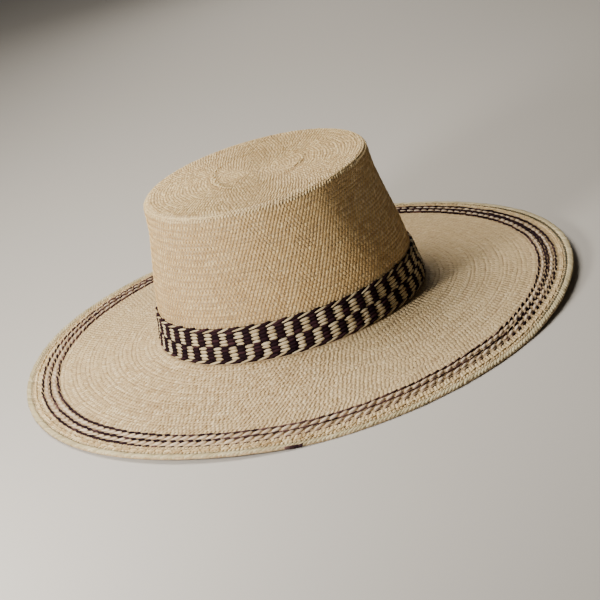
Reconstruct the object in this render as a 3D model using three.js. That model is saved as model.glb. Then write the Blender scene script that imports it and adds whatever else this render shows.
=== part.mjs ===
// Wide-brimmed woven straw hat with a low flat-topped crown and a plaited two-colour band.
// Millimetres, +Z up. X runs along the long axis of the head opening, and the hat rests on z = 0,
// with the origin under the middle of the crown.
import * as THREE from "three";

// Head opening and walls
const HEAD_LONG = 101.6; // half the opening's long axis, inside the crown at the headline
const HEAD_SHORT = 81.5; // half its short axis: with the long one a head of about 57 cm
const CROWN_WALL = 1.6;
const BRIM_WALL = 1.8;
const GAP = 0.3; // between any two pieces

const CROWN_RISE = 112.4; // from the headline, where the brim leaves the crown, to the tip

// Brim: its width from the band's outer face, how far it droops, and the waves along its edge
const BRIM_WIDTH = 111;
const BRIM_DROOP = 10.4;
const COLLAR_RISE = 4.2; // the brim's inner edge stands up inside the band
const BRIM_FIELD = [0.16, 0.34, 0.52, 0.7, 0.86]; // sections across the brim, as shares of its width
const REST_DROP = 11.7; // no stretch of the edge sags lower than this: there it lies flat
const EDGE_WAVES = [
  { lobes: 2, rise: 2.1, turn: -10 },
  { lobes: 3, rise: 1.6, turn: -4 },
  { lobes: 4, rise: 1.2, turn: 75 },
];
const WIDTH_WAVES = [
  { lobes: 2, rise: 2.1, turn: 121 },
  { lobes: 4, rise: 0.9, turn: 34 },
];

// Crown wall from the headline up: height above it, half axes of the outside, and the degrees that
// the oval is turned, as a crown shaped by hand is
const CROWN_LEVELS = [
  { rise: 0, long: HEAD_LONG + CROWN_WALL, short: HEAD_SHORT + CROWN_WALL, turn: 0 },
  { rise: 27.2, long: 98.9, short: 78.8, turn: 0 },
  { rise: 36, long: 98, short: 78.1, turn: 0.5 },
  { rise: 48, long: 96, short: 77, turn: 1 },
  { rise: 70, long: 91.3, short: 74.8, turn: 2 },
  { rise: 90, long: 87.3, short: 73.4, turn: 3 },
  { rise: 102, long: 86.2, short: 73, turn: 4 },
];
// The rounded lip between tip and wall: depth below the tip, and how far in from the lip's widest line
const LIP_LEVELS = [
  { below: 0, inset: 5.4 },
  { below: 0.7, inset: 2.6 },
  { below: 2.4, inset: 0.7 },
  { below: 5.6, inset: 0 },
];
const LIP_OVAL = { long: 86, short: 73, turn: 4 };

// Plaited band: two tiers of padded blocks
const BAND_RISE = 27;
const BAND_THICK = 1.8;
const BAND_EDGE_THICK = 0.9;
const BAND_CHAMFER = 1.4; // clears the bend of the brim behind it
const TIER_ROUND = 3; // height over which a tier thins to its edge

// Edge strip and woven-in rows of the border, by the distance of their middle from the brim's edge
const RIM_STRIP = 5.2;
const RIM_THICK = 2.2;
const RIM_PROUD = 0.5; // above the brim's upper face
const RIM_BEVEL = 0.7;
const BORDER_ROWS = [
  { name: "border_row_outer", fromEdge: 13.2, width: 2.2, proud: 0.8, colour: 0x4a2a26 },
  { name: "border_cord_outer", fromEdge: 16.4, width: 3.4, proud: 1.2, colour: 0xd8c1a4 },
  { name: "border_row_middle", fromEdge: 19.6, width: 2.2, proud: 0.8, colour: 0x3a1c20 },
  { name: "border_cord_inner", fromEdge: 22.8, width: 3.4, proud: 1.2, colour: 0xd8c1a4 },
  { name: "border_row_inner", fromEdge: 26, width: 2.2, proud: 0.8, colour: 0x3a1c20 },
];

const STEPS = 64; // round the hat
const HEAD_OVAL = { long: HEAD_LONG, short: HEAD_SHORT };
const BAND_OUT = CROWN_WALL + GAP + BAND_EDGE_THICK; // from the head opening to the band's outer edge
const HEADLINE = REST_DROP + RIM_THICK - RIM_PROUD; // its height above the surface the hat rests on

// A point off an oval, at an angle round it and a distance out along its own normal. A turned oval's
// points stay near the same angles.
function ovalPoint(oval, angle, out, height) {
  const turn = THREE.MathUtils.degToRad(oval.turn ?? 0);
  const c = Math.cos(angle - turn);
  const s = Math.sin(angle - turn);
  const normal = new THREE.Vector2(c / oval.long, s / oval.short).normalize();
  const point = new THREE.Vector2(oval.long * c, oval.short * s).addScaledVector(normal, out);
  point.rotateAround(new THREE.Vector2(), turn);
  return new THREE.Vector3(point.x, point.y, height);
}

function wave(angle, waves) {
  const phase = (w) => w.lobes * angle + THREE.MathUtils.degToRad(w.turn);
  return waves.reduce((sum, w) => sum + w.rise * Math.cos(phase(w)), 0);
}

function brimWidth(angle) {
  return BRIM_WIDTH + wave(angle, WIDTH_WAVES);
}

// How far the brim's edge lies below the headline.
function edgeDrop(angle) {
  return Math.min(BRIM_DROOP - wave(angle, EDGE_WAVES), REST_DROP);
}

// A point "lift" mm above the brim's upper face, "out" mm from the band's outer edge. The waves grow
// towards the brim's edge.
function brimPoint(angle, out, lift) {
  const share = out / brimWidth(angle);
  const drop = BRIM_DROOP * share + (edgeDrop(angle) - BRIM_DROOP) * share * Math.abs(share);
  return ovalPoint(HEAD_OVAL, angle, BAND_OUT + out, HEADLINE - drop + lift);
}

// The same, by the distance in from the brim's edge.
function borderPoint(angle, fromEdge, lift) {
  return brimPoint(angle, brimWidth(angle) - fromEdge, lift);
}

// A closed mesh from rings of points, each ring a function of the angle. Without poles the last ring
// joins the first, as in a hoop, and with poles the surface closes in a point at each end.
function sweptMesh(rings, poles = null) {
  const points = [];
  const faces = [];
  for (const ring of rings) {
    for (let i = 0; i < STEPS; i++) {
      points.push(ring((2 * Math.PI * i) / STEPS));
    }
  }
  const last = rings.length - 1;
  const strips = poles ? last : last + 1;
  for (let r = 0; r < strips; r++) {
    const here = r * STEPS;
    const next = ((r + 1) % rings.length) * STEPS;
    for (let i = 0; i < STEPS; i++) {
      const j = (i + 1) % STEPS;
      faces.push(here + i, next + i, next + j, here + i, next + j, here + j);
    }
  }
  if (poles) {
    const first = points.length;
    points.push(poles.first, poles.last);
    for (let i = 0; i < STEPS; i++) {
      const j = (i + 1) % STEPS;
      faces.push(first, i, j);
      faces.push(first + 1, last * STEPS + j, last * STEPS + i);
    }
  }
  const geometry = new THREE.BufferGeometry();
  geometry.setAttribute("position", new THREE.Float32BufferAttribute(points.flatMap((p) => p.toArray()), 3));
  geometry.setIndex(faces);
  geometry.computeVertexNormals();
  return geometry;
}

function piece(name, geometry, colour) {
  const mesh = new THREE.Mesh(geometry, new THREE.MeshStandardMaterial({ color: colour, roughness: 0.85 }));
  mesh.name = name;
  return mesh;
}

// The outline of the crown's foot at a height above the headline.
function footOval(rise) {
  const [base, above] = CROWN_LEVELS;
  const share = rise / above.rise;
  return {
    rise,
    long: THREE.MathUtils.lerp(base.long, above.long, share),
    short: THREE.MathUtils.lerp(base.short, above.short, share),
  };
}

// Crown: tip and side wall in one woven shell, open below where it stands on the brim's collar.
function crown() {
  const tip = HEADLINE + CROWN_RISE;
  const under = tip - CROWN_WALL;
  const half = { ...LIP_OVAL, long: LIP_OVAL.long / 2, short: LIP_OVAL.short / 2 };
  const tipRing = (height) => (a) => ovalPoint(half, a, 0, height);
  const lipRing = (level, out, top) => (a) =>
    ovalPoint(LIP_OVAL, a, out - level.inset, top - level.below);
  const wallRing = (level, out) => (a) => ovalPoint(level, a, out, HEADLINE + level.rise);
  const walls = [footOval(COLLAR_RISE + GAP), ...CROWN_LEVELS.slice(1)];
  const rings = [
    tipRing(tip),
    ...LIP_LEVELS.map((level) => lipRing(level, 0, tip)),
    ...walls.toReversed().map((level) => wallRing(level, 0)),
    ...walls.map((level) => wallRing(level, -CROWN_WALL)),
    ...LIP_LEVELS.toReversed().map((level) => lipRing(level, -CROWN_WALL, under)),
    tipRing(under),
  ];
  const poles = { first: new THREE.Vector3(0, 0, tip), last: new THREE.Vector3(0, 0, under) };
  return piece("crown", sweptMesh(rings, poles), 0xcdb896);
}

// Brim: a drooping, gently waved sheet whose inner edge turns up as a collar behind the band.
function brim() {
  const collar = (rise, out) => (a) => ovalPoint(footOval(Math.max(rise, 0)), a, out, HEADLINE + rise);
  const field = (share, lift) => (a) => brimPoint(a, share * brimWidth(a), lift);
  const edge = (lift) => (a) => borderPoint(a, RIM_STRIP + GAP, lift);
  const turn = 1.2; // the bend from brim to collar
  const upper = -GAP;
  const lower = upper - BRIM_WALL;
  const rings = [
    collar(COLLAR_RISE, -CROWN_WALL),
    collar(COLLAR_RISE, 0),
    collar(upper + turn, 0),
    collar(upper, turn),
    ...BRIM_FIELD.map((share) => field(share, upper)),
    edge(upper),
    edge(lower),
    ...BRIM_FIELD.toReversed().map((share) => field(share, lower)),
    collar(lower, turn),
    collar(lower + turn / 2, turn / 2 - CROWN_WALL),
    collar(lower + 2 * turn, -CROWN_WALL),
  ];
  return piece("brim", sweptMesh(rings), 0xbfa583);
}

// Band: a plaited strap round the foot of the crown, in two padded tiers with a groove between them.
function band() {
  const strap = (rise, out) => (a) => ovalPoint(footOval(rise), a, GAP + out, HEADLINE + rise);
  const half = BAND_RISE / 2;
  const rings = [
    strap(BAND_CHAMFER, 0),
    strap(BAND_RISE, 0),
    strap(BAND_RISE, BAND_EDGE_THICK),
    strap(BAND_RISE - TIER_ROUND, BAND_THICK),
    strap(half + TIER_ROUND, BAND_THICK),
    strap(half, BAND_EDGE_THICK),
    strap(half - TIER_ROUND, BAND_THICK),
    strap(TIER_ROUND, BAND_THICK),
    strap(0, BAND_EDGE_THICK),
  ];
  return piece("band", sweptMesh(rings), 0x8a7560);
}

// Rim strip: the turned and woven-back outer edge, thicker than the brim. It lies level, and the hat
// rests on it.
function rimStrip() {
  const strip = (fromEdge, lift) => (a) => {
    const out = BAND_OUT + brimWidth(a) - fromEdge;
    return ovalPoint(HEAD_OVAL, a, out, HEADLINE - edgeDrop(a) + lift);
  };
  const sole = RIM_PROUD - RIM_THICK;
  const rings = [
    strip(RIM_STRIP, RIM_PROUD - RIM_BEVEL),
    strip(RIM_STRIP - RIM_BEVEL, RIM_PROUD),
    strip(RIM_BEVEL, RIM_PROUD),
    strip(0, RIM_PROUD - RIM_BEVEL),
    strip(0, sole + RIM_BEVEL),
    strip(RIM_BEVEL, sole),
    strip(RIM_STRIP, sole),
  ];
  return piece("rim_edge", sweptMesh(rings), 0xc9b08c);
}

// One raised row of the border, lying on the brim.
function borderRow(row) {
  const half = row.width / 2;
  const rings = [
    (a) => borderPoint(a, row.fromEdge + half, 0),
    (a) => borderPoint(a, row.fromEdge + half / 2, row.proud),
    (a) => borderPoint(a, row.fromEdge - half / 2, row.proud),
    (a) => borderPoint(a, row.fromEdge - half, 0),
  ];
  return piece(row.name, sweptMesh(rings), row.colour);
}

const hat = new THREE.Group();
hat.add(crown(), brim(), band(), rimStrip(), ...BORDER_ROWS.map(borderRow));

export default hat;
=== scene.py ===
import math
import bpy
import numpy as np
from mathutils import Matrix, Vector


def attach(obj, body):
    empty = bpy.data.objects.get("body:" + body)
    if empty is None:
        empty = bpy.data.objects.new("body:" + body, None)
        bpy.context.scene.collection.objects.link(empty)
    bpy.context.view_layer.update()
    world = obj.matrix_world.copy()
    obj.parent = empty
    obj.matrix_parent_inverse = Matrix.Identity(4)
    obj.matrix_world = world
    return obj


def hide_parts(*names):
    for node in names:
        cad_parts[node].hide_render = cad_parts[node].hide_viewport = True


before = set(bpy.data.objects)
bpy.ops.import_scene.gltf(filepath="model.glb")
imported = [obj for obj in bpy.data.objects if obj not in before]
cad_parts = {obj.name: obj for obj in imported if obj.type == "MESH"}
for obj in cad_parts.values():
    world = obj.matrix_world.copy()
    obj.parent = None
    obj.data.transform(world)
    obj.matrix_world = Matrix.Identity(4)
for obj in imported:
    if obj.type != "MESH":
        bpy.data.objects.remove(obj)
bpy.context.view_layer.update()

# Camera: a long lens a good metre from the hat, looking down at twenty-four degrees, with the picture
# tipped so that the hat leans to the left.
camera_rise = math.radians(24.359)
camera_roll = math.radians(-16.131)
camera_shift = Vector((-0.005697, 0.003107, 1.299454))
camera_aim_height = 0.0134
lens = 102
picture_roll = Matrix.Rotation(camera_roll, 3, "Z")
picture_look = Matrix(((1, 0, 0),
                       (0, -math.sin(camera_rise), -math.cos(camera_rise)),
                       (0, math.cos(camera_rise), -math.sin(camera_rise))))
to_camera = picture_roll @ picture_look
camera_spot = Vector((0, 0, camera_aim_height)) - to_camera.transposed() @ camera_shift
bpy.ops.object.camera_add(location=camera_spot)
camera = bpy.context.object
camera.name = "camera"
camera.rotation_mode = "QUATERNION"
camera_axes = Matrix((to_camera[0], -to_camera[1], -to_camera[2])).transposed()
camera.rotation_quaternion = camera_axes.to_quaternion()
camera.data.sensor_width = 36
camera.data.lens = lens
camera.data.clip_start = 0.05
camera.data.clip_end = 20
bpy.context.scene.camera = camera

# Crown shell: the stiff straw body of the crown, a flat tip and a side wall that tapers to it, hollow
# and open below. Its ovals shrink and turn a little as they rise. The woven stitches stand on it.
headline = 0.0134
wall_thickness = 0.0012
stitch_bed = 0.0004
foot_rise = 0.0045
foot_long, foot_short = 0.1032, 0.0831
band_top_long, band_top_short, band_top_rise = 0.0989, 0.0788, 0.0272
tip_rise = 0.1124
lip_long, lip_short, lip_turn = 0.086, 0.073, math.radians(4)
hollow_turn = math.radians(-41)
hollow_depth, hollow_spread = 0.029, 0.22
hollow_rises = (0.040, 0.064, 0.085, 0.104, tip_rise)
hollow_shares = (0, 0.5, 1, 1, 0.3)
crown_levels = (
    {"rise": 0.0, "long": foot_long, "short": foot_short, "turn": 0},
    {"rise": band_top_rise, "long": band_top_long, "short": band_top_short, "turn": 0},
    {"rise": 0.036, "long": 0.098, "short": 0.0781, "turn": 0.5},
    {"rise": 0.048, "long": 0.096, "short": 0.077, "turn": 1},
    {"rise": 0.070, "long": 0.0913, "short": 0.0748, "turn": 2},
    {"rise": 0.090, "long": 0.0873, "short": 0.0734, "turn": 3},
    {"rise": 0.102, "long": 0.0862, "short": 0.073, "turn": 4},
)
lip_levels = (
    {"below": 0.0056, "inset": 0.0},
    {"below": 0.0038, "inset": 0.0003},
    {"below": 0.0022, "inset": 0.0010},
    {"below": 0.0010, "inset": 0.0023},
    {"below": 0.0003, "inset": 0.0039},
    {"below": 0.0, "inset": 0.0058},
)


def crown_profile():
    """Rows of (rise, long, short, turn) from the foot up the wall, over the lip and in to the middle."""
    rows = []
    for level in crown_levels:
        rows.append((level["rise"], level["long"], level["short"], math.radians(level["turn"])))
    for level in lip_levels:
        inset = level["inset"]
        rows.append((tip_rise - level["below"], lip_long - inset, lip_short - inset, lip_turn))
    for share in (0.8, 0.6, 0.4, 0.2, 0.0):
        last = lip_levels[-1]["inset"]
        rows.append((tip_rise, (lip_long - last) * share, (lip_short - last) * share, lip_turn))
    return np.array(rows)


profile = crown_profile()
profile_steps = np.hypot(np.diff(profile[:, 0]), np.diff((profile[:, 1] + profile[:, 2]) / 2))
profile_run = np.concatenate(([0], np.cumsum(profile_steps)))


def hollow(angle, rise):
    """The shallow hollow pressed in the right of the wall, below the lip, as a share of the reach."""
    off = (angle - hollow_turn + np.pi) % (2 * np.pi) - np.pi
    depth = hollow_depth * np.interp(rise, hollow_rises, hollow_shares)
    return depth * np.exp(-(off / hollow_spread) ** 2)


def crown_at(angle, run, lift=0.0):
    """Points on the crown's outer face, a given way along the profile and round the head."""
    rise, long, short, turn = (np.interp(run, profile_run, profile[:, k]) for k in range(4))
    x = long * np.cos(angle - turn)
    y = short * np.sin(angle - turn)
    flat = np.stack([x * np.cos(turn) - y * np.sin(turn), x * np.sin(turn) + y * np.cos(turn)], -1)
    flat *= (1 - hollow(angle, rise))[..., None]
    return np.concatenate([flat, (headline + rise + lift + 0 * angle)[..., None]], -1)


shell_steps = 128
hair = 0.0001
bpy.ops.object.select_all(action="DESELECT")
bpy.ops.mesh.primitive_circle_add(vertices=shell_steps, radius=1, location=(0, 0, headline + foot_rise))
crown_shell = bpy.context.object
crown_shell.name = "crown_shell"
bpy.ops.object.mode_set(mode="EDIT")
bpy.ops.mesh.select_all(action="SELECT")
start_run = float(np.interp(foot_rise, profile[:, 0], profile_run))
stations = [start_run, *profile_run[1:-1]]
made = [np.array([np.interp(run, profile_run, profile[:, k]) for k in range(4)]) for run in stations]
bpy.ops.transform.resize(value=(made[0][1] - stitch_bed, made[0][2] - stitch_bed, 1))
for below, here in zip(made, made[1:]):
    flat_tip = here[0] >= tip_rise - hair
    sink = -stitch_bed if flat_tip and below[0] < tip_rise - hair else 0
    bpy.ops.mesh.extrude_region_move(TRANSFORM_OT_translate={"value": (0, 0, here[0] - below[0] + sink)})
    middle = (0, 0, headline + here[0])
    bpy.ops.transform.rotate(value=below[3], orient_axis="Z", center_override=middle)
    bpy.ops.transform.resize(value=((here[1] - stitch_bed) / (below[1] - stitch_bed),
                                    (here[2] - stitch_bed) / (below[2] - stitch_bed), 1))
    bpy.ops.transform.rotate(value=-here[3], orient_axis="Z", center_override=middle)
bpy.ops.mesh.extrude_region_move()
bpy.ops.mesh.merge(type="CENTER")
bpy.ops.mesh.select_all(action="SELECT")
bpy.ops.mesh.remove_doubles(threshold=0.00001)
bpy.ops.mesh.normals_make_consistent(inside=False)
bpy.ops.object.mode_set(mode="OBJECT")
wall = crown_shell.modifiers.new("wall", "SOLIDIFY")
wall.thickness = wall_thickness
wall.offset = -1
bpy.ops.object.modifier_apply(modifier="wall")
bpy.ops.object.transform_apply(location=True, rotation=True, scale=True)
for corner in crown_shell.data.vertices:
    corner_turn = math.atan2(corner.co.y / lip_short, corner.co.x / lip_long)
    pressed_in = 1 - float(hollow(corner_turn, corner.co.z - headline))
    corner.co.x *= pressed_in
    corner.co.y *= pressed_in
bpy.ops.object.shade_smooth_by_angle(angle=math.radians(50))


def bare_finish(name, roughness, gloss):
    """A new material to build on, with its nodes, its links and its shader."""
    finish = bpy.data.materials.new(name)
    finish.use_nodes = True
    shader = finish.node_tree.nodes["Principled BSDF"]
    shader.inputs["Roughness"].default_value = roughness
    shader.inputs["Specular IOR Level"].default_value = gloss
    return finish, finish.node_tree.nodes, finish.node_tree.links, shader


def woven_finish(name, columns, grow, most):
    """The back of the weave: staggered rounds of small humps, told by the row attribute and the turn."""
    shaded_straw, lit_straw = (0.32, 0.21, 0.11, 1), (0.72, 0.565, 0.34, 1)
    hump_share, speckle_share = 0.55, 0.4
    turns_in_a_radian = 0.15915
    finish, nodes, links, shader = bare_finish(name, 0.75, 0.25)

    def work(operation, first, second=None, third=None):
        node = nodes.new("ShaderNodeMath")
        node.operation = operation
        for socket, value in zip(node.inputs, (first, second, third)):
            if isinstance(value, (int, float)):
                socket.default_value = value
            elif value is not None:
                links.new(value, socket)
        return node.outputs["Value"]

    place = nodes.new("ShaderNodeTexCoord")
    parts = nodes.new("ShaderNodeSeparateXYZ")
    links.new(place.outputs["Object"], parts.inputs["Vector"])
    row = nodes.new("ShaderNodeAttribute")
    row.attribute_name = "row"
    level = work("FLOOR", row.outputs["Fac"])
    pair = work("FLOOR", work("MULTIPLY", row.outputs["Fac"], 0.5))
    round_count = work("ROUND", work("MINIMUM", work("MULTIPLY_ADD", pair, grow, columns), most))
    turn = work("ARCTAN2", parts.outputs["Y"], parts.outputs["X"])
    column = work("MULTIPLY", work("MULTIPLY", turn, turns_in_a_radian), round_count)
    leant = work("MULTIPLY_ADD", row.outputs["Fac"], 0.5, column)
    hump = work("MULTIPLY", work("ABSOLUTE", work("SINE", work("MULTIPLY", leant, math.pi))),
                work("ABSOLUTE", work("SINE", work("MULTIPLY", row.outputs["Fac"], math.pi))))
    cell = nodes.new("ShaderNodeCombineXYZ")
    links.new(work("FLOOR", leant), cell.inputs["X"])
    links.new(level, cell.inputs["Y"])
    speckle = nodes.new("ShaderNodeTexWhiteNoise")
    speckle.noise_dimensions = "2D"
    links.new(cell.outputs["Vector"], speckle.inputs["Vector"])
    shade = nodes.new("ShaderNodeValToRGB")
    ramp = shade.color_ramp.elements
    ramp[0].color, ramp[1].color = shaded_straw, lit_straw
    speckled = work("MULTIPLY", speckle.outputs["Value"], speckle_share)
    mixed = work("MULTIPLY_ADD", hump, hump_share, speckled)
    links.new(mixed, shade.inputs["Fac"])
    links.new(shade.outputs["Color"], shader.inputs["Base Color"])
    relief = nodes.new("ShaderNodeBump")
    relief.inputs["Strength"].default_value = 0.8
    relief.inputs["Distance"].default_value = 0.0005
    links.new(hump, relief.inputs["Height"])
    links.new(relief.outputs["Normal"], shader.inputs["Normal"])
    return finish


wall_columns = 182
row_height = 0.00275
columns_a_row = 11.5
shell_row_count = 20.4
tip_rows_run = 0.08
tip_rows_from = 0.1
shell_points = np.array([corner.co for corner in crown_shell.data.vertices])
tip_share = np.hypot(shell_points[:, 0] / lip_long, shell_points[:, 1] / lip_short)
on_tip = shell_points[:, 2] > headline + tip_rows_from
tip_run = tip_rows_run * np.clip(1 - tip_share, 0, 1) * on_tip
shell_rows = (shell_points[:, 2] - headline + tip_run) / row_height
shell_row = crown_shell.data.attributes.new("row", "FLOAT", "POINT")
shell_row.data.foreach_set("value", shell_rows.astype(np.float32))
crown_core = woven_finish("crown_core", wall_columns + columns_a_row * shell_row_count,
                          -columns_a_row, wall_columns)
crown_shell.data.materials.append(crown_core)
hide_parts("crown")
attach(crown_shell, "root")

# Crown weave: every visible crossing of the straw is a short raised stitch, pointed at both ends. They
# lie in level rounds, each round half a stitch on from the last and every other one a little deeper,
# with painted shade making the deeper rounds a little darker.
wall_size = (0.0024, 0.0038, 0.00048)
stitch_lift, stitch_dip = 0.0002, 0.00012
straw_wander = ((0.00035, 7, 190), (0.00025, 17, -320))
ring_rise = 0.0055
band_overlap = 0.002
weave_lean = math.radians(29)
chance = np.random.default_rng(7)


def model_straw(sides, taper, dome):
    """The corners and faces of one short straw, a unit wide, long and high, pointed and domed."""
    bpy.ops.object.select_all(action="DESELECT")
    bpy.ops.mesh.primitive_circle_add(vertices=sides, radius=0.5, fill_type="NGON", location=(0, 0, 0))
    straw = bpy.context.object
    bpy.ops.object.mode_set(mode="EDIT")
    bpy.ops.mesh.select_all(action="SELECT")
    bpy.ops.transform.translate(value=(0, 0, -0.5))
    bpy.ops.object.mode_set(mode="OBJECT")
    for corner in straw.data.vertices:
        corner.select = min(abs(corner.co.x), abs(corner.co.y)) > 0.1
    bpy.ops.object.mode_set(mode="EDIT")
    bpy.ops.transform.resize(value=(0.86, 0.92, 1))
    bpy.ops.mesh.select_all(action="SELECT")
    bpy.ops.mesh.extrude_region_move(TRANSFORM_OT_translate={"value": (0, 0, 0.5 + dome[0])})
    bpy.ops.transform.resize(value=(taper[0], taper[1], 1))
    bpy.ops.mesh.poke(offset=dome[1])
    bpy.ops.mesh.select_all(action="SELECT")
    bpy.ops.mesh.quads_convert_to_tris()
    bpy.ops.mesh.normals_make_consistent(inside=False)
    bpy.ops.object.mode_set(mode="OBJECT")
    corners = np.array([corner.co for corner in straw.data.vertices])
    faces = np.array([face.vertices[:] for face in straw.data.polygons])
    bpy.data.objects.remove(straw)
    return corners, faces


def even_round(surface, run, count, phase):
    """Angles of evenly spaced places round one ring of the hat."""
    fine = np.linspace(0, 2 * np.pi, 1441)
    ring = surface(fine, run)
    way = np.concatenate(([0], np.cumsum(np.linalg.norm(np.diff(ring, axis=0), axis=1))))
    return np.interp((np.arange(count) + phase) / count * way[-1], way, fine)


def surface_frame(surface, angle, run):
    """Where each place is, with its directions round the hat, up the hat and outward."""
    step, turn = 0.0005, 0.01
    here = surface(angle, run)
    round_way = surface(angle + turn, run) - surface(angle - turn, run)
    up_way = surface(angle, run + step) - surface(angle, run - step)
    round_way /= np.linalg.norm(round_way, axis=1, keepdims=True)
    out_way = np.cross(round_way, up_way)
    out_way /= np.linalg.norm(out_way, axis=1, keepdims=True)
    return here, round_way, np.cross(out_way, round_way), out_way


def lay_straws(name, straw, surface, places):
    """Joins one mesh from copies of a straw, laid by a table with a column for each property."""
    seen_share, under_share = 0.84, 0.04
    fibres_across, fibres_along, fibre_range = 2600, 420, 60
    corners, faces = straw
    here, round_way, up_way, out_way = surface_frame(surface, places["angle"], places["run"])
    lean = places["lean"][:, None]
    along = up_way * np.cos(lean) + round_way * np.sin(lean)
    across = round_way * np.cos(lean) - up_way * np.sin(lean)
    tilt = places["tilt"][:, None]
    raised = along * np.cos(tilt) + out_way * np.sin(tilt)
    up = out_way * np.cos(tilt) - along * np.sin(tilt)
    size = np.stack([places["width"], places["length"], places["height"]], -1)
    local = corners[None, :, :] * size[:, None, :]
    points = (here + out_way * places["lift"][:, None])[:, None, :]
    points = points + local[..., 0:1] * across[:, None, :] + local[..., 1:2] * raised[:, None, :]
    points = points + local[..., 2:3] * up[:, None, :]
    count, each = len(here), len(corners)
    joined = (np.arange(count)[:, None, None] * each + faces[None]).reshape(-1, 3)
    mesh = bpy.data.meshes.new(name)
    mesh.from_pydata(points.reshape(-1, 3).tolist(), [], joined.tolist())
    mesh.polygons.foreach_set("use_smooth", [True] * len(joined))
    tone = mesh.attributes.new("tone", "FLOAT", "POINT")
    tone.data.foreach_set("value", np.repeat(places["tone"], each).astype(np.float32))
    loops = joined.reshape(-1)
    side = int(math.ceil(math.sqrt(count)))
    cell = np.stack([np.arange(count) % side, np.arange(count) // side], -1)
    seen = 0.5 + corners[faces][..., :2] * seen_share
    under = (corners[faces][..., 2].max(axis=1) < -0.4)[:, None, None]
    hidden = under_share + (corners[faces][..., :2] + 0.5) * under_share
    spot = np.where(under, hidden, seen)
    bake = (cell[:, None, None, :] + spot[None]) / side
    bake_map = mesh.uv_layers.new(name="OFBake")
    bake_map.data.foreach_set("uv", bake.reshape(-1).astype(np.float32))
    grain_start = chance.uniform(0, fibre_range, (count, 1, 2))
    grain = local[..., :2] * (fibres_across, fibres_along) + grain_start
    grain_map = mesh.uv_layers.new(name="grain")
    grain_map.data.foreach_set("uv", grain.reshape(-1, 2)[loops].reshape(-1).astype(np.float32))
    piece = bpy.data.objects.new(name, mesh)
    bpy.context.scene.collection.objects.link(piece)
    return piece


def weave_rings(surface, rings, lean, size, uneven=1.0):
    """Places for the stitches of many rings, each a (low, high, columns) with two rounds of stitches."""
    width, length, height = size
    angle, run, dip = [], [], []
    for low, high, columns in rings:
        for part, shift, sunk in ((0.25, 0, 0), (0.75, 0.5, 1)):
            at = low + (high - low) * part
            angle.append(even_round(surface, at, columns, shift))
            run.append(np.full(columns, at))
            dip.append(np.full(columns, sunk))
    angle, run, dip = np.concatenate(angle), np.concatenate(run), np.concatenate(dip)
    count = len(angle)
    wobble = sum(most * np.sin(angle * lobes + run * rows) for most, lobes, rows in straw_wander)
    return {
        "angle": angle,
        "run": run + wobble + chance.normal(0, 0.00012 * uneven, count),
        "lean": lean + chance.normal(0, math.radians(4) * uneven, count),
        "tilt": chance.normal(math.radians(2), math.radians(1.5), count),
        "width": width * chance.normal(1, 0.07 * uneven, count),
        "length": length * chance.normal(1, 0.07 * uneven, count),
        "height": height * chance.normal(1, 0.12 * uneven, count),
        "lift": -stitch_bed + stitch_lift - stitch_dip * dip,
        # Painted shade: the deeper round of each ring is drawn darker.
        "tone": np.clip(chance.normal(0.55, 0.2, count) - 0.14 * dip, 0, 1),
    }


def round_degrees(places):
    """Each place's way round the hat in degrees, from the end of the long axis."""
    return np.degrees(places["angle"]) % 360


def press(places, relief, widths, lengths):
    """Stitches worked flatter or prouder: the flat ones spread and sink, the proud ones draw in."""
    places["height"] *= relief
    places["lift"] = (places["lift"] + stitch_bed) * np.minimum(relief, 1) - stitch_bed
    places["width"] *= widths[0] - widths[1] * relief
    places["length"] *= lengths[0] - lengths[1] * relief


def spread_tone(places, much):
    """Draws the straws' shades further apart, or nearer."""
    places["tone"] = 0.5 + (places["tone"] - 0.5) * much


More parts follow.
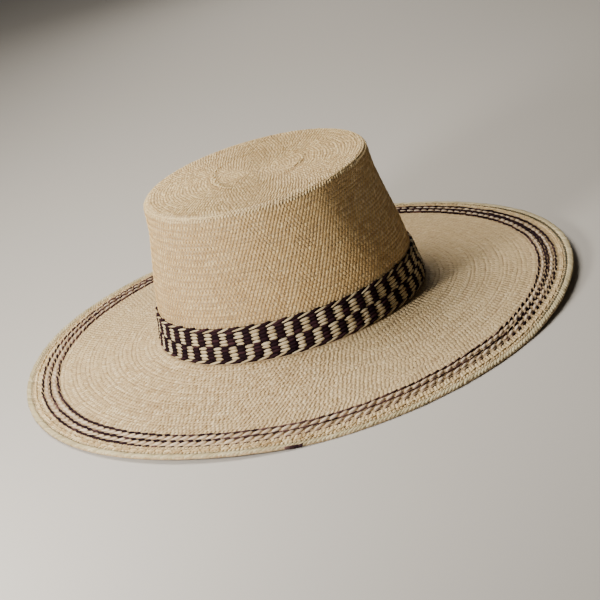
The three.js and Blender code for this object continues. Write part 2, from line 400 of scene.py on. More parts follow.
def straw_finish(name, shades, patch, roughness, gloss, streak=0.16):
    """Dried plant straw: each stitch has its own shade, with fine fibres along it and slow patches."""
    own_share, patch_share = 0.62, 0.38
    finish, nodes, links, shader = bare_finish(name, roughness, gloss)
    place = nodes.new("ShaderNodeTexCoord")
    patches = nodes.new("ShaderNodeTexNoise")
    patches.inputs["Scale"].default_value = patch
    patches.inputs["Detail"].default_value = 3
    links.new(place.outputs["Object"], patches.inputs["Vector"])
    tone = nodes.new("ShaderNodeAttribute")
    tone.attribute_name = "tone"
    blend = nodes.new("ShaderNodeMath")
    blend.operation = "MULTIPLY_ADD"
    blend.inputs[1].default_value = own_share
    links.new(tone.outputs["Fac"], blend.inputs[0])
    slow = nodes.new("ShaderNodeMath")
    slow.operation = "MULTIPLY"
    slow.inputs[1].default_value = patch_share
    links.new(patches.outputs["Fac"], slow.inputs[0])
    links.new(slow.outputs["Value"], blend.inputs[2])
    shade = nodes.new("ShaderNodeValToRGB")
    ramp = shade.color_ramp.elements
    ramp[0].position, ramp[1].position = 0.15, 0.85
    ramp[0].color, ramp[1].color = (*shades[0], 1), (*shades[2], 1)
    ramp.new(0.5).color = (*shades[1], 1)
    links.new(blend.outputs["Value"], shade.inputs["Fac"])
    along = nodes.new("ShaderNodeUVMap")
    along.uv_map = "grain"
    fibres = nodes.new("ShaderNodeTexNoise")
    fibres.inputs["Scale"].default_value = 1.0
    fibres.inputs["Detail"].default_value = 2
    links.new(along.outputs["UV"], fibres.inputs["Vector"])
    spread = nodes.new("ShaderNodeMapRange")
    spread.inputs["From Min"].default_value = 0.3
    spread.inputs["From Max"].default_value = 0.7
    spread.inputs["To Min"].default_value = 1 - streak
    spread.inputs["To Max"].default_value = 1 + streak * 0.6
    links.new(fibres.outputs["Fac"], spread.inputs["Value"])
    fibred = nodes.new("ShaderNodeVectorMath")
    fibred.operation = "SCALE"
    links.new(shade.outputs["Color"], fibred.inputs[0])
    links.new(spread.outputs["Result"], fibred.inputs["Scale"])
    links.new(fibred.outputs["Vector"], shader.inputs["Base Color"])
    ridges = nodes.new("ShaderNodeBump")
    ridges.inputs["Strength"].default_value = 0.5
    ridges.inputs["Distance"].default_value = 0.0001
    links.new(fibres.outputs["Fac"], ridges.inputs["Height"])
    links.new(ridges.outputs["Normal"], shader.inputs["Normal"])
    return finish


weave_straw = model_straw(8, (0.70, 0.80), (0.34, 0.14))
weave_low = float(np.interp(band_top_rise - band_overlap, profile[:, 0], profile_run))
weave_lip = float(profile_run[len(crown_levels) + 1])
ring_count = int(round((weave_lip - weave_low) / ring_rise))
wall_edges = np.linspace(weave_low, weave_lip, ring_count + 1)
wall_rings = [(low, high, wall_columns) for low, high in zip(wall_edges, wall_edges[1:])]
wall_places = weave_rings(crown_at, wall_rings, weave_lean, wall_size)
# The wall's stitches lie flattest right of the front and stand proud in the hollow beyond. On the side
# away from the light their tone is painted darker and more uneven, as painted shade. On the left every
# second round sinks in a groove, and its straws are painted darker as shade in the groove.
relief_degrees = (0, 150, 230, 265, 295, 306, 325, 360)
wall_relief = (1.1, 1.1, 1.15, 0.9, 0.40, 0.5, 1.3, 1.1)
painted_shade_degrees, painted_shade_shares = (0, 20, 300, 318, 360), (1, 0, 0, 1, 1)
left_degrees, left_shares = (120, 180, 225, 262), (0, 1, 1, 0)
painted_shade_spread, painted_shade_tone = 0.9, 0.18
groove_painted_shade, left_tone = 0.6, 0.12
groove_depth = 0.00014
wall_turn = round_degrees(wall_places)
# Painted shade on the side away from the light: the straws' tones spread apart and fall.
wall_shade = np.interp(wall_turn, painted_shade_degrees, painted_shade_shares)
spread_tone(wall_places, 1 + painted_shade_spread * wall_shade)
wall_places["tone"] -= painted_shade_tone * wall_shade
press(wall_places, np.interp(wall_turn, relief_degrees, wall_relief), (1.25, 0.25), (1.15, 0.15))
wall_left = np.interp(wall_turn, left_degrees, left_shares)
ring_share = (wall_places["run"] - weave_low) / (wall_edges[1] - weave_low) % 1
wall_groove = (ring_share > 0.5) * wall_left
# Painted shade in the groove: its straws are drawn darker.
wall_places["tone"] -= groove_painted_shade * wall_groove
wall_places["tone"] += left_tone * wall_left
wall_places["lift"] -= groove_depth * wall_groove
wall_shades = (0.48, 0.312, 0.129), (0.645, 0.444, 0.197), (0.805, 0.61, 0.31)
wall_straw = straw_finish("wall_straw", wall_shades, 14, 0.6, 0.32)
crown_weave = lay_straws("crown_weave", weave_straw, crown_at, wall_places)
crown_weave.data.materials.append(wall_straw)
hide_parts("crown")
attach(crown_weave, "root")

# Tip weave: the same straw, worked round and round from the middle of the tip out to the lip, with
# straws added as the rings grow. It rises in a low ring, paler on top as a painted highlight and darker
# in the trough outside it as painted shade. The stitches next to the lip carry a painted highlight, and
# a line of long straws turns over the lip.
tip_pitch = 0.0024
tip_ring = 0.0043
tip_middle = 0.0018
tip_size, tip_uneven = (0.0018, 0.0028, 0.0009), 1.6
tip_full_run = float(profile_run[-1])
tip_ring_count = int(round((tip_full_run - weave_lip) / tip_ring))
tip_edges = np.linspace(weave_lip, tip_full_run - tip_middle, tip_ring_count + 1)


def ring_columns(surface, run, pitch):
    """How many stitches go round one ring, an even number."""
    fine = np.linspace(0, 2 * np.pi, 361)
    way = np.linalg.norm(np.diff(surface(fine, run), axis=0), axis=1).sum()
    return max(6, 2 * int(round(way / pitch / 2)))


tip_rings = [(low, high, ring_columns(crown_at, (low + high) / 2, tip_pitch))
             for low, high in zip(tip_edges, tip_edges[1:])]
tip_places = weave_rings(crown_at, tip_rings, weave_lean, tip_size, tip_uneven)
ring_middle, ring_reach, ring_thick, ring_raise = 0.004, 0.034, 0.0017, 0.0012
ring_swell, ring_swell_turn, ring_lobe = 0.0025, 2.5, 0.0012
ridge_painted_highlight, trough_painted_shade, trough_out = 0.5, 0.6, 0.0032
ring_low, ring_left, ring_right = 0.25, 0.75, 0.5
left_way, left_half, right_way, right_half = math.radians(190), 0.85, math.radians(34), 0.45
tip_spots = crown_at(tip_places["angle"], tip_places["run"])
ridge_turn = np.arctan2(tip_spots[:, 1] - ring_middle, tip_spots[:, 0] - ring_middle)
ridge_reach = np.hypot(tip_spots[:, 0] - ring_middle, tip_spots[:, 1] - ring_middle)
ridge_off = ridge_reach - ring_reach - ring_swell * np.cos(ridge_turn - ring_swell_turn)
ridge_off -= ring_lobe * np.cos(3 * ridge_turn)
left_turn = (ridge_turn - left_way + np.pi) % (2 * np.pi) - np.pi
right_turn = (ridge_turn + right_way + np.pi) % (2 * np.pi) - np.pi
ridge_share = ring_low + ring_left * np.exp(-(left_turn / left_half) ** 2)
ridge_share += ring_right * np.exp(-(right_turn / right_half) ** 2)
ridge = np.exp(-(ridge_off / ring_thick) ** 2) * ridge_share
trough = np.exp(-((ridge_off - trough_out) / ring_thick) ** 2)
tip_places["lift"] += ring_raise * ridge
spread_tone(tip_places, 1.6)
# Painted highlight along the top of the raised ring, painted shade in the trough just outside it.
tip_places["tone"] += ridge_painted_highlight * ridge - trough_painted_shade * trough * ridge_share
lip_count = 2 * wall_columns // 3
lip_run = float(profile_run[len(crown_levels) + 3])
lip_straw = {"lean": math.radians(83), "tilt": math.radians(2), "width": 0.0013, "length": 0.0062,
             "height": 0.0010, "lift": -0.0002, "tone": 0.8, "run": lip_run}
lip_painted_highlight, lip_painted_highlight_run = 0.3, 0.004
lip_bare_middle, lip_bare_half = 278, 28
lip_line = {key: np.full(lip_count, value) for key, value in lip_straw.items()}
lip_line["angle"] = even_round(crown_at, lip_run, lip_count, 0.3)
# Painted highlight: the tip's stitches close to the lip are drawn paler all round.
tip_places["tone"] += lip_painted_highlight * np.exp(-((tip_places["run"] - lip_run) / lip_painted_highlight_run) ** 2)
lip_kept = np.abs(round_degrees(lip_line) - lip_bare_middle) > lip_bare_half
lip_line = {key: column[lip_kept] for key, column in lip_line.items()}
tip_places = {key: np.concatenate([tip_places[key], lip_line[key]]) for key in tip_places}
crown_shades = (0.47, 0.325, 0.145), (0.63, 0.46, 0.222), (0.79, 0.632, 0.348)
crown_straw = straw_finish("crown_straw", crown_shades, 14, 0.6, 0.32)
tip_weave = lay_straws("tip_weave", weave_straw, crown_at, tip_places)
tip_weave.data.materials.append(crown_straw)
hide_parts("crown")
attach(tip_weave, "root")

# Brim sheet: the flat, slightly drooping and waved part of the body, which turns up as a short collar
# inside the band and carries the crown.
brim_width = 0.111
brim_droop = 0.0104
rest_drop = 0.0117
head_long, head_short = 0.1016, 0.0815
band_out = 0.0028
brim_top_lift = -0.0003
brim_sole_lift = -0.0021
collar_rise = 0.0042
edge_waves = ((2, 0.0021, -10), (3, 0.0016, -4), (4, 0.0012, 75))
width_waves = ((2, 0.0021, 121), (4, 0.0009, 34))


def wave(angle, waves):
    """The sum of a few waves round the edge, each a (lobes, rise, turn)."""
    return sum(rise * np.cos(lobes * angle + math.radians(turn)) for lobes, rise, turn in waves)


def full_width(angle):
    return brim_width + wave(angle, width_waves)


def oval_at(angle, long, short, out, height):
    """Points round an oval, set out from it and at a height."""
    c, s = np.cos(angle), np.sin(angle)
    reach = np.hypot(c / long, s / short)
    return np.stack([long * c + out * c / long / reach, short * s + out * s / short / reach,
                     height + 0 * angle], -1)


def brim_at(angle, out, lift):
    """Points on the drooping brim, a given way out from the band."""
    share = out / full_width(angle)
    edge_drop = np.minimum(brim_droop - wave(angle, edge_waves), rest_drop)
    drop = brim_droop * share + (edge_drop - brim_droop) * share * np.abs(share)
    return oval_at(angle, head_long, head_short, band_out + out, headline - drop + lift)


def foot_at(angle, rise, out):
    """Points beside the foot of the crown, behind the band."""
    share = max(rise, 0) / band_top_rise
    return oval_at(angle, foot_long + (band_top_long - foot_long) * share,
                   foot_short + (band_top_short - foot_short) * share, out, headline + rise)


def hoop(name, steps, rings):
    """A closed hoop of straw: a circle extruded ring by ring, bridged, and laid to its rings."""
    step = 0.001
    bpy.ops.object.select_all(action="DESELECT")
    bpy.ops.mesh.primitive_circle_add(vertices=steps, radius=head_long, location=(0, 0, 0))
    made_hoop = bpy.context.object
    made_hoop.name = name
    bpy.ops.object.mode_set(mode="EDIT")
    bpy.ops.mesh.select_all(action="SELECT")
    for number in range(1, len(rings)):
        bpy.ops.mesh.extrude_region_move(TRANSFORM_OT_translate={"value": (0, 0, step)})
    bpy.ops.object.mode_set(mode="OBJECT")
    angle = np.linspace(0, 2 * np.pi, steps, endpoint=False)
    corners = np.array([corner.co for corner in made_hoop.data.vertices])
    level = np.rint(corners[:, 2] / step).astype(int)
    turned = np.rint(np.arctan2(corners[:, 1], corners[:, 0]) / (2 * np.pi) * steps).astype(int) % steps
    laid = np.stack([ring(angle) for ring in rings])
    made_hoop.data.vertices.foreach_set("co", laid[level, turned].reshape(-1))
    reach = np.hypot(laid[..., 0] / head_long, laid[..., 1] / head_short).mean(axis=1) - 1
    row = reach[level] * (head_long + head_short) / 2 / row_height
    rows = made_hoop.data.attributes.new("row", "FLOAT", "POINT")
    rows.data.foreach_set("value", row.astype(np.float32))
    made_hoop.data.update()
    for edge in made_hoop.data.edges:
        ends = {int(level[corner]) for corner in edge.vertices}
        edge.select = ends == {0} or ends == {len(rings) - 1}
    for corner in made_hoop.data.vertices:
        corner.select = int(level[corner.index]) in (0, len(rings) - 1)
    for face in made_hoop.data.polygons:
        face.select = False
    bpy.ops.object.mode_set(mode="EDIT")
    bpy.ops.mesh.select_mode(type="EDGE")
    bpy.ops.mesh.bridge_edge_loops()
    bpy.ops.mesh.select_all(action="SELECT")
    bpy.ops.mesh.normals_make_consistent(inside=False)
    bpy.ops.object.mode_set(mode="OBJECT")
    bpy.ops.object.shade_smooth_by_angle(angle=math.radians(50))
    return made_hoop


rim_strip = 0.0052
gap = 0.0003
bend = 0.0012
shell_wall = 0.0016
sheet_top = brim_top_lift - stitch_bed
tucked = 0.0002
sheet_shares = (0.2, 0.4, 0.6, 0.8)
head_columns, no_limit = 190, 9999


def sheet_rings(shares, lift):
    """Rings across the sheet, each at a share of its width."""
    return [lambda a, share=share: brim_at(a, full_width(a) * share, lift) for share in shares]


brim_sheet = hoop("brim_sheet", 192, [
    lambda a: foot_at(a, collar_rise, -shell_wall),
    lambda a: foot_at(a, collar_rise, -tucked),
    lambda a: foot_at(a, bend, -tucked),
    lambda a: foot_at(a, sheet_top, bend),
    *sheet_rings(sheet_shares, sheet_top),
    lambda a: brim_at(a, full_width(a) - rim_strip - gap, sheet_top),
    lambda a: brim_at(a, full_width(a) - rim_strip - gap, brim_sole_lift),
    *sheet_rings(sheet_shares[::-1], brim_sole_lift),
    lambda a: foot_at(a, brim_sole_lift, bend),
    lambda a: foot_at(a, brim_sole_lift + bend / 2, bend / 2 - shell_wall),
    lambda a: foot_at(a, brim_sole_lift + 2 * bend, -shell_wall),
])
brim_core = woven_finish("brim_core", head_columns, columns_a_row, no_limit)
brim_sheet.data.materials.append(brim_core)
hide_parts("brim")
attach(brim_sheet, "root")

# Brim weave: the wall's stitches carried on over the brim in rings as wide as two stitches, with
# straws added ring by ring. The inner rings and the outer rings are two pieces.
border_reach = 0.0276
brim_shades = (0.47, 0.33, 0.162), (0.61, 0.463, 0.249), (0.765, 0.63, 0.388)
brim_straw = straw_finish("brim_straw", brim_shades, 12, 0.62, 0.3)


def brim_run(angle, run):
    """The brim's upper face by the way in from the border towards the band, so that up is inward."""
    out = (full_width(angle) - border_reach) * (1 - run / (brim_width - border_reach))
    return brim_at(angle, out, brim_top_lift)


brim_pitch = 0.0032
brim_ring = 0.0068
field_size, field_uneven = (0.0027, 0.0043, 0.0005), 1.8
field_degrees = (0, 180, 225, 265, 290, 360)
field_relief = (0.4, 1.0, 2.3, 1.5, 0.4, 0.4)
field_inset = 0.0004
field = brim_width - border_reach
field_rings = int(round(field / brim_ring))
field_edges = np.linspace(0.0, field - field_inset, field_rings + 1)
field_table = [(low, high, ring_columns(brim_run, (low + high) / 2, brim_pitch))
               for low, high in zip(field_edges, field_edges[1:])]
split = field_rings // 2
for name, part in (("brim_weave_outer", field_table[:split]), ("brim_weave_inner", field_table[split:])):
    field_places = weave_rings(brim_run, part, weave_lean, field_size, field_uneven)
    pressed = np.interp(round_degrees(field_places), field_degrees, field_relief)
    press(field_places, pressed, (1.25, 0.2), (1.15, 0.12))
    spread_tone(field_places, np.clip(pressed, 0.6, 2.2))
    brim_weave = lay_straws(name, weave_straw, brim_run, field_places)
    brim_weave.data.materials.append(brim_straw)
    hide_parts("brim")
    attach(brim_weave, "root")

# Border bed: outside the last dark row the brim is finished with two rounds of close small stitches and
# a thin pale ridge between them.
border_pitch = 0.0068
bed_pitch = 0.0026


def edge_run(angle, run):
    """The brim's upper face by the way in from its edge."""
    return brim_at(angle, full_width(angle) - run, brim_top_lift)


def ring_places(surface, run, count, shift, lean, width, length, height, lift, drift=0.0001):
    """Places for one round of like straws, evenly spaced, each a little different from the next."""
    return {
        "angle": even_round(surface, run, count, shift) + chance.normal(0, drift * 5, count),
        "run": np.full(count, run) + chance.normal(0, drift, count),
        "lean": np.full(count, lean) + chance.normal(0, math.radians(2), count),
        "tilt": np.full(count, math.radians(3)) + chance.normal(0, math.radians(1.5), count),
        "width": width * chance.normal(1, 0.06, count),
        "length": length * chance.normal(1, 0.05, count),
        "height": height * chance.normal(1, 0.08, count),
        "lift": np.full(count, lift),
        "tone": np.clip(chance.normal(0.5, 0.24, count), 0, 1),
    }


def gather(tables):
    """One table of places from several."""
    return {key: np.concatenate([table[key] for table in tables]) for key in tables[0]}


def raise_ridges(places, relief):
    """Straws that stand prouder and draw in a little."""
    places["height"] *= relief
    places["width"] *= 1.12 - 0.12 * relief


border_line = edge_run(np.linspace(0, 2 * np.pi, 721), 0.02)
border_length = float(np.linalg.norm(np.diff(border_line, axis=0), axis=1).sum())
border_count = int(round(border_length / border_pitch))
bed_count = int(round(border_length / bed_pitch))
bed_rounds = (
    {"in": 0.0066, "lean": 40, "width": 0.0026, "length": 0.0042, "height": 0.0005},
    {"in": 0.0095, "lean": 34, "width": 0.0026, "length": 0.0038, "height": 0.0004},
    {"in": 0.0118, "lean": 28, "width": 0.0026, "length": 0.0036, "height": 0.0004},
)
bed_lift = -0.0003
ridge_in, ridge_lean, ridge_lift = 0.0081, math.radians(86), -0.0001
ridge_size = (0.0015, 0.0086, 0.0015)
ridged_degrees = (0, 150, 195, 245, 285, 360)
bed_relief = (1, 1.3, 2.4, 2.0, 1.2, 1)
bed_places = [ring_places(edge_run, entry["in"], bed_count, 0.3 * number, math.radians(entry["lean"]),
                          entry["width"], entry["length"], entry["height"], bed_lift)
              for number, entry in enumerate(bed_rounds)]
bed_places.append(ring_places(edge_run, ridge_in, border_count, 0.2, ridge_lean,
                              *ridge_size, ridge_lift))
bed_table = gather(bed_places)
bed_ridged = np.interp(round_degrees(bed_table), ridged_degrees, bed_relief)
raise_ridges(bed_table, bed_ridged)
spread_tone(bed_table, bed_ridged)
border_bed = lay_straws("border_bed", weave_straw, edge_run, bed_table)
border_bed.data.materials.append(brim_straw)
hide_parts("brim")
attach(border_bed, "root")

# Border cords: two rounds of pale straw twined over the brim, each turn of the twist a long slanting
# lens that overlaps the next.
pale_shades = (0.45, 0.325, 0.205), (0.59, 0.46, 0.315), (0.72, 0.595, 0.44)
pale_straw = straw_finish("pale_straw", pale_shades, 20, 0.55, 0.36)
cord_straw = model_straw(10, (0.72, 0.82), (0.36, 0.12))
cord_rounds = (
    {"name": "cord_inner", "node": "border_cord_inner", "in": 0.0228, "shift": 0.0},
    {"name": "cord_outer", "node": "border_cord_outer", "in": 0.0164, "shift": 0.3},
)
cord_size, cord_lift, cord_drift = (0.0032, 0.0092, 0.0021), 0.0, 0.00015
cord_lean_degrees, cord_leans = (-180, -125, -100, -62, 60, 180), (72, 64, 69, 82, 78, 72)
cord_size_degrees = (-180, -125, -100, -62, -30, 40, 180)
cord_sizes = (0.85, 1, 0.96, 0.82, 0.64, 0.64, 0.8)


def half_turn_degrees(places):
    """Each place's way round the hat in degrees, from -180 to 180."""
    return (np.degrees(places["angle"]) + 180) % 360 - 180


for entry in cord_rounds:
    places = ring_places(edge_run, entry["in"], border_count, entry["shift"], 0,
                         *cord_size, cord_lift, cord_drift)
    degrees = half_turn_degrees(places)
    places["lean"] += np.radians(np.interp(degrees, cord_lean_degrees, cord_leans))
    places["length"] *= np.interp(degrees, cord_size_degrees, cord_sizes)
    places["tilt"] += math.radians(4)
    cord = lay_straws(entry["name"], cord_straw, edge_run, places)
    cord.data.materials.append(pale_straw)
    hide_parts(entry["node"])
    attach(cord, "root")

# Border rows: dark dyed straw twined beside and between the pale cords, showing as dashes that thin
# out towards the front, where the outer round all but goes under.
dye_shades = (0.010, 0.004, 0.007), (0.024, 0.010, 0.014), (0.135, 0.075, 0.07)
row_dye = straw_finish("row_dye", dye_shades, 30, 0.8, 0.08)
# Each row changes in front, "from" one angle "to" another, and again at the far left, at the front
# left corner and beside the right. The middle row's second round stops where the first stands alone.
row_rounds = (
    {"name": "row_inner", "node": "border_row_inner", "from": -128, "to": -34, "thin": 0.72,
     "width": 0.0020, "length": 0.0064, "long": 0.5, "sink": 0.0, "along": 0.03,
     "aside": 0.0, "beside": 0.2, "corner": 0.0, "rounds": (
         {"in": 0.0258, "shift": 0.55, "drift": 0.0, "stops": False},)},
    {"name": "row_middle", "node": "border_row_middle", "from": -118, "to": -30, "thin": 0.55,
     "width": 0.0018, "length": 0.0048, "long": 0.85, "sink": -0.0006, "along": 0.11,
     "aside": 0.25, "beside": 0.7, "corner": 0.3, "rounds": (
         {"in": 0.0187, "shift": 0.8, "drift": 0.0006, "stops": False},
         {"in": 0.0206, "shift": 0.7, "drift": 0.0, "stops": True})},
    {"name": "row_outer", "node": "border_row_outer", "from": -138, "to": -36, "thin": 0.45,
     "width": 0.0020, "length": 0.0062, "long": -0.1, "sink": 0.0003, "along": 0.0,
     "aside": 0.0, "beside": 0.35, "corner": 0.15, "rounds": (
         {"in": 0.0134, "shift": 0.1, "drift": 0.0, "stops": False},)},
)
dash_height, dash_lean, dash_lift, dash_drift = 0.0024, math.radians(81), 0.0001, 0.0002
front_fade, aside_from, side_fade = 14, 150, 8
corner_from, corner_to = -160, -102
beside_from, beside_to, beside_fade = -26, 70, 16
length_degrees, length_shares = (-180, -140, -128, 0, 25, 90, 180), (1.5, 1.25, 1, 1, 1.2, 1.4, 1.5)
width_degrees = (-180, -165, -150, 20, 50, 75, 150, 180)
width_shares = (1.0, 1.15, 1, 1, 0.8, 0.58, 0.62, 1.0)
dye_degrees = (-180, -165, -118, -100, -60, -30, 40, 75, 160, 180)
dye_tones = (0.0, -0.15, -0.1, 0.45, 0.35, -0.3, -0.3, 0.2, 0.45, 0.0)


def between(degrees, start, end, fade):
    """One inside a stretch of the round, falling to nothing at its ends over the fade."""
    return np.clip(np.minimum(degrees - start, end - degrees) / fade, 0, 1)


for entry in row_rounds:
    tables = []
    for round_in in entry["rounds"]:
        table = ring_places(edge_run, round_in["in"], border_count, round_in["shift"], dash_lean,
                            entry["width"], entry["length"], dash_height, dash_lift, dash_drift)
        degrees = half_turn_degrees(table)
        ahead = between(degrees, entry["from"], entry["to"], front_fade)
        aside = np.clip((np.abs(degrees) - aside_from) / side_fade, 0, 1)
        corner = between(degrees, corner_from, corner_to, side_fade)
        beside = between(degrees, beside_from, beside_to, beside_fade)
        single = np.maximum(np.maximum(ahead, aside), corner)
        table["run"] += round_in["drift"] * single
        table["width"] *= 1 - (1 - entry["thin"]) * ahead
        table["height"] *= 1 - (1 - entry["thin"]) * ahead
        table["length"] *= 1 + entry["long"] * ahead
        table["length"] *= np.interp(degrees, length_degrees, length_shares)
        table["length"] *= 1 + entry["aside"] * aside + entry["beside"] * beside
        table["width"] *= 1 - 0.12 * beside + entry["corner"] * corner * (1 - ahead)
        table["length"] *= 1 + 1.2 * entry["corner"] * corner * (1 - ahead)
        table["width"] *= np.interp(degrees, width_degrees, width_shares)
        table["lift"] -= entry["sink"] * ahead
        table["lean"] += entry["along"] * ahead
        table["tone"] += np.interp(degrees, dye_degrees, dye_tones)
        kept = ~(round_in["stops"] & (single > 0.5))
        tables.append({key: column[kept] for key, column in table.items()})
    places = gather(tables)
    row = lay_straws(entry["name"], cord_straw, edge_run, places)
    row.data.materials.append(row_dye)
    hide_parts(entry["node"])
    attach(row, "root")

# Rim: the straw ends turned under and woven back on the slant, over a hoop of straw that meets the
# floor. In front a straw or two is worn short.
rim_proud = 0.0005
rim_thick = 0.0022
rim_bevel = 0.0007
rim_bed = 0.0004


def rim_at(angle, inward, lift):
    """Points on the level rim, a given way in from its edge."""
    edge_drop = np.minimum(brim_droop - wave(angle, edge_waves), rest_drop)
    out = band_out + full_width(angle) - inward
    return oval_at(angle, head_long, head_short, out, headline - edge_drop + lift)


rim_sole = rim_proud - rim_thick
rim_hoop = hoop("rim_hoop", 256, [
    lambda a: rim_at(a, rim_strip, rim_proud - rim_bevel - rim_bed),
    lambda a: rim_at(a, rim_strip - rim_bevel, rim_proud - rim_bed),
    lambda a: rim_at(a, rim_bevel + rim_bed, rim_proud - rim_bed),
    lambda a: rim_at(a, rim_bed, rim_proud - rim_bevel - rim_bed),
    lambda a: rim_at(a, rim_bed, rim_sole + rim_bevel),
    lambda a: rim_at(a, rim_bevel, rim_sole),
    lambda a: rim_at(a, rim_strip, rim_sole),
])
rim_shades = (0.40, 0.33, 0.18), (0.52, 0.44, 0.255), (0.65, 0.57, 0.36)
rim_straw = straw_finish("rim_straw", rim_shades, 16, 0.6, 0.3)
rim_hoop.data.materials.append(brim_core)
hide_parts("rim_edge")
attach(rim_hoop, "root")


def rim_run(angle, run):
    return rim_at(angle, run, rim_proud)


rim_round, rim_pitch = 1.03, 0.0029
rim_in, rim_lean, rim_lift = 0.0025, math.radians(58), -0.0004
rim_size = (0.0032, 0.0086, 0.0008)
rim_relief = (1, 1.3, 2.1, 1.9, 1.2, 1)
nick_from, nick_to = -99.5, -95.5
nick_in, nick_short = 0.0005, 0.25
rim_count = int(round(border_length * rim_round / rim_pitch))
rim_places = ring_places(rim_run, rim_in, rim_count, 0, rim_lean, *rim_size, rim_lift)
rim_degrees = half_turn_degrees(rim_places)
nick = (rim_degrees > nick_from) & (rim_degrees < nick_to)
rim_ridged = np.interp(rim_degrees % 360, ridged_degrees, rim_relief)
raise_ridges(rim_places, rim_ridged)
spread_tone(rim_places, rim_ridged ** 0.5)
rim_places["run"] += nick_in * nick
rim_places["length"] *= 1 - nick_short * nick
rim_weave = lay_straws("rim_weave", cord_straw, rim_run, rim_places)
rim_weave.data.materials.append(rim_straw)
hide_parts("rim_edge")
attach(rim_weave, "root")

# Green groove and dark spot: small dark green stitches in a groove where the turned ends go back into
# the brim, and a few dark straws on the very edge in front.
green_shades = (0.045, 0.04, 0.018), (0.13, 0.11, 0.06), (0.52, 0.42, 0.26)
green_straw = straw_finish("green_straw", green_shades, 30, 0.6, 0.3)
green_middle, green_half, green_fade = -5, 38, 12
groove_in, groove_lean, groove_lift = 0.0053, math.radians(40), -0.0001
groove_size = (0.0016, 0.0026, 0.0012)
dark_spot_from, dark_spot_to = -99.0, -95.6
dark_spot_in, dark_spot_lean, dark_spot_lift = 0.0007, math.radians(87), -0.0010
dark_spot_size = (0.0016, 0.0046, 0.0024)
groove_places = ring_places(edge_run, groove_in, rim_count, 0.5, groove_lean, *groove_size, groove_lift)
groove_degrees = half_turn_degrees(groove_places)
green_side = np.clip((green_half - np.abs(groove_degrees - green_middle)) / green_fade, 0, 1)
groove_places["width"] *= 1 + 0.5 * green_side
groove_places["length"] *= 1 + 0.3 * green_side
groove_places["tone"] = np.clip(1.0 - green_side + chance.normal(0, 0.12, rim_count), 0, 1)
dark_spot_places = ring_places(rim_run, dark_spot_in, rim_count, 0.5, dark_spot_lean, *dark_spot_size, dark_spot_lift)
dark_spot_degrees = half_turn_degrees(dark_spot_places)
in_dark_spot = (dark_spot_degrees > dark_spot_from) & (dark_spot_degrees < dark_spot_to)
dark_spot_places = {key: column[in_dark_spot] for key, column in dark_spot_places.items()}
rim_nick = lay_straws("rim_nick", cord_straw, rim_run, dark_spot_places)
rim_nick.data.materials.append(row_dye)
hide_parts("rim_edge")
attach(rim_nick, "root")
rim_groove = lay_straws("rim_groove", weave_straw, edge_run, groove_places)
rim_groove.data.materials.append(green_straw)
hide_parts("rim_edge")
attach(rim_groove, "root")

# Band: a plaited strap sewn round the foot of the crown. Pale and dark blocks, each a stack of short
# flat straws with pointed ends, alternate in two staggered tiers between roped edges.
band_rise = 0.027
band_blocks = 46
block_straws = 4
straw_rise = 0.0026
tier_foot = 0.0031
band_body = (
    {"rise": 0.0, "out": 0.0004},
    {"rise": 0.003, "out": 0.0010},
    {"rise": 0.0105, "out": 0.0010},
    {"rise": 0.0135, "out": 0.0006},
    {"rise": 0.0165, "out": 0.0010},
    {"rise": 0.024, "out": 0.0010},
    {"rise": 0.027, "out": 0.0004},
)


def band_run(angle, run):
    """The strap's outer face by its height above the headline."""
    rise = np.clip(run, 0, 1)
    share = rise / band_top_rise
    rises, outs = [entry["rise"] for entry in band_body], [entry["out"] for entry in band_body]
    out = gap + np.interp(run, rises, outs)
    long = foot_long + (band_top_long - foot_long) * share
    short = foot_short + (band_top_short - foot_short) * share
    return oval_at(angle, long, short, out, headline + run)


band_foot = 0.0014
dyed_shades = (0.009, 0.0035, 0.006), (0.018, 0.007, 0.010), (0.05, 0.02, 0.025)
band_inside = [lambda a: foot_at(a, band_foot, gap), lambda a: foot_at(a, band_rise, gap)]
band_outside = [lambda a, entry=entry: band_run(a, entry["rise"]) for entry in reversed(band_body)]
band_core = hoop("band_core", 160, band_inside + band_outside)
dyed_straw = straw_finish("dyed_straw", dyed_shades, 30, 0.8, 0.08)
band_core.data.materials.append(dyed_straw)
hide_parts("band")
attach(band_core, "root")

flat_way, rope_way = math.radians(84), math.radians(76)
band_start = 0.42
pale_size, pale_lift = (0.0031, 0.0096, 0.0020), -0.0002
dark_size = (0.0029, 0.0092, 0.0020)
rope_pale_size, rope_dark_size = (0.0019, 0.0135, 0.0024), (0.0025, 0.0150, 0.0024)
rope_low, rope_high, rope_step = 0.0016, 0.0256, 0.0003
pale_tables, dark_tables = [], []
for tier in range(2):
    for number in range(block_straws):
        rise = tier_foot + (tier * block_straws + number + 0.5) * straw_rise
        pale = ring_places(band_run, rise, band_blocks, band_start + 0.5 * tier + 0.02, flat_way,
                           *pale_size, pale_lift)
        pale["tilt"] += math.radians(4)
        pale["length"] *= chance.normal(1, 0.08, band_blocks)
        pale_tables.append(pale)
    for number in range(block_straws):
        rise = tier_foot + (tier * block_straws + number + 0.9) * straw_rise
        dark_tables.append(ring_places(band_run, rise, band_blocks, band_start + 0.5 * tier + 0.5,
                                       flat_way, *dark_size, 0))
for rise, shift in ((rope_low, band_start + 0.15), (rope_high, band_start + 0.05)):
    pale_tables.append(ring_places(band_run, rise, band_blocks, shift + 0.55, rope_way,
                                   *rope_pale_size, 0))
    dark_tables.append(ring_places(band_run, rise + rope_step, band_blocks, shift + 0.02, rope_way,
                                   *rope_dark_size, 0))
strap_straw = model_straw(10, (0.80, 0.84), (0.30, 0.08))
strap_shades = (0.43, 0.33, 0.185), (0.57, 0.465, 0.28), (0.70, 0.60, 0.40)
strap_pale = straw_finish("strap_pale", strap_shades, 20, 0.55, 0.36)
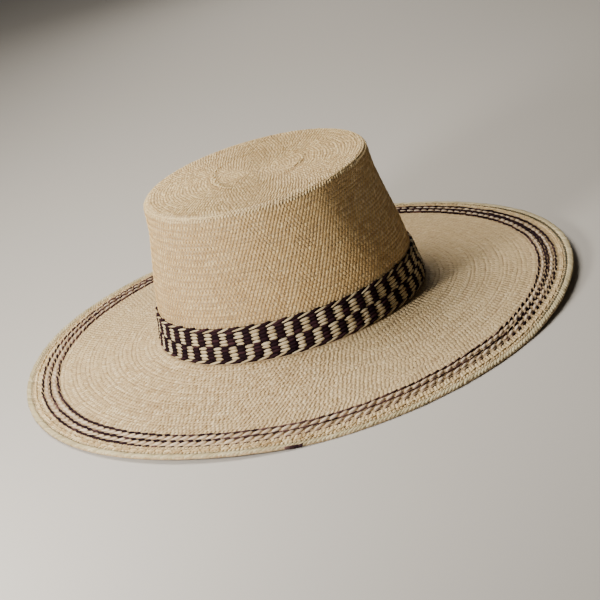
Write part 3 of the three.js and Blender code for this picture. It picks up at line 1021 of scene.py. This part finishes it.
band_pale = lay_straws("band_pale", strap_straw, band_run, gather(pale_tables))
band_pale.data.materials.append(strap_pale)
band_dark = lay_straws("band_dark", cord_straw, band_run, gather(dark_tables))
band_dark.data.materials.append(dyed_straw)
for part in (band_pale, band_dark):
    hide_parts("band")
    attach(part, "root")

# Floor: a wide pale matt sheet of paper that the hat rests on, far larger than the picture, so that it
# shows no edge.
bpy.ops.object.select_all(action="DESELECT")
bpy.ops.mesh.primitive_plane_add(size=8, location=(0, 0, 0))
floor = bpy.context.object
floor.name = "floor"
floor_look = bpy.data.materials.new("floor_look")
floor_look.use_nodes = True
floor_shader = floor_look.node_tree.nodes["Principled BSDF"]
floor_shader.inputs["Base Color"].default_value = (0.5, 0.485, 0.455, 1)
floor_shader.inputs["Roughness"].default_value = 0.9
floor.data.materials.append(floor_look)

# Lights: a near, low key from the left and front, a warm light from above, a faint one from behind that
# opens the shadow under the brim, and next to no sky.
lamps = (
    {"name": "key", "at": (-0.509, -0.412, 0.31), "aim": (0, 0, 0.05), "size": 0.16, "power": 6.6,
     "colour": (1.0, 0.95, 0.885)},
    {"name": "fill", "at": (-0.33, 0.19, 0.87), "aim": (0, 0, 0.05), "size": 0.6, "power": 12.6,
     "colour": (1.0, 0.93, 0.835)},
    {"name": "back", "at": (0.1, 1.0, 0.45), "aim": (0.1, 0, 0), "size": 0.6, "power": 1.8,
     "colour": (1.0, 0.93, 0.84)},
)
for entry in lamps:
    bpy.ops.object.light_add(type="AREA", location=entry["at"])
    lamp = bpy.context.object
    lamp.name = entry["name"]
    lamp.data.shape = "DISK"
    lamp.data.size = entry["size"]
    lamp.data.energy = entry["power"]
    lamp.data.color = entry["colour"]
    lamp.rotation_euler = (Vector(entry["aim"]) - lamp.location).to_track_quat("-Z", "Y").to_euler()
sky = bpy.data.worlds.new("sky")
bpy.context.scene.world = sky
sky.use_nodes = True
sky.node_tree.nodes["Background"].inputs["Color"].default_value = (1.0, 0.89, 0.77, 1)
sky.node_tree.nodes["Background"].inputs["Strength"].default_value = 0.03
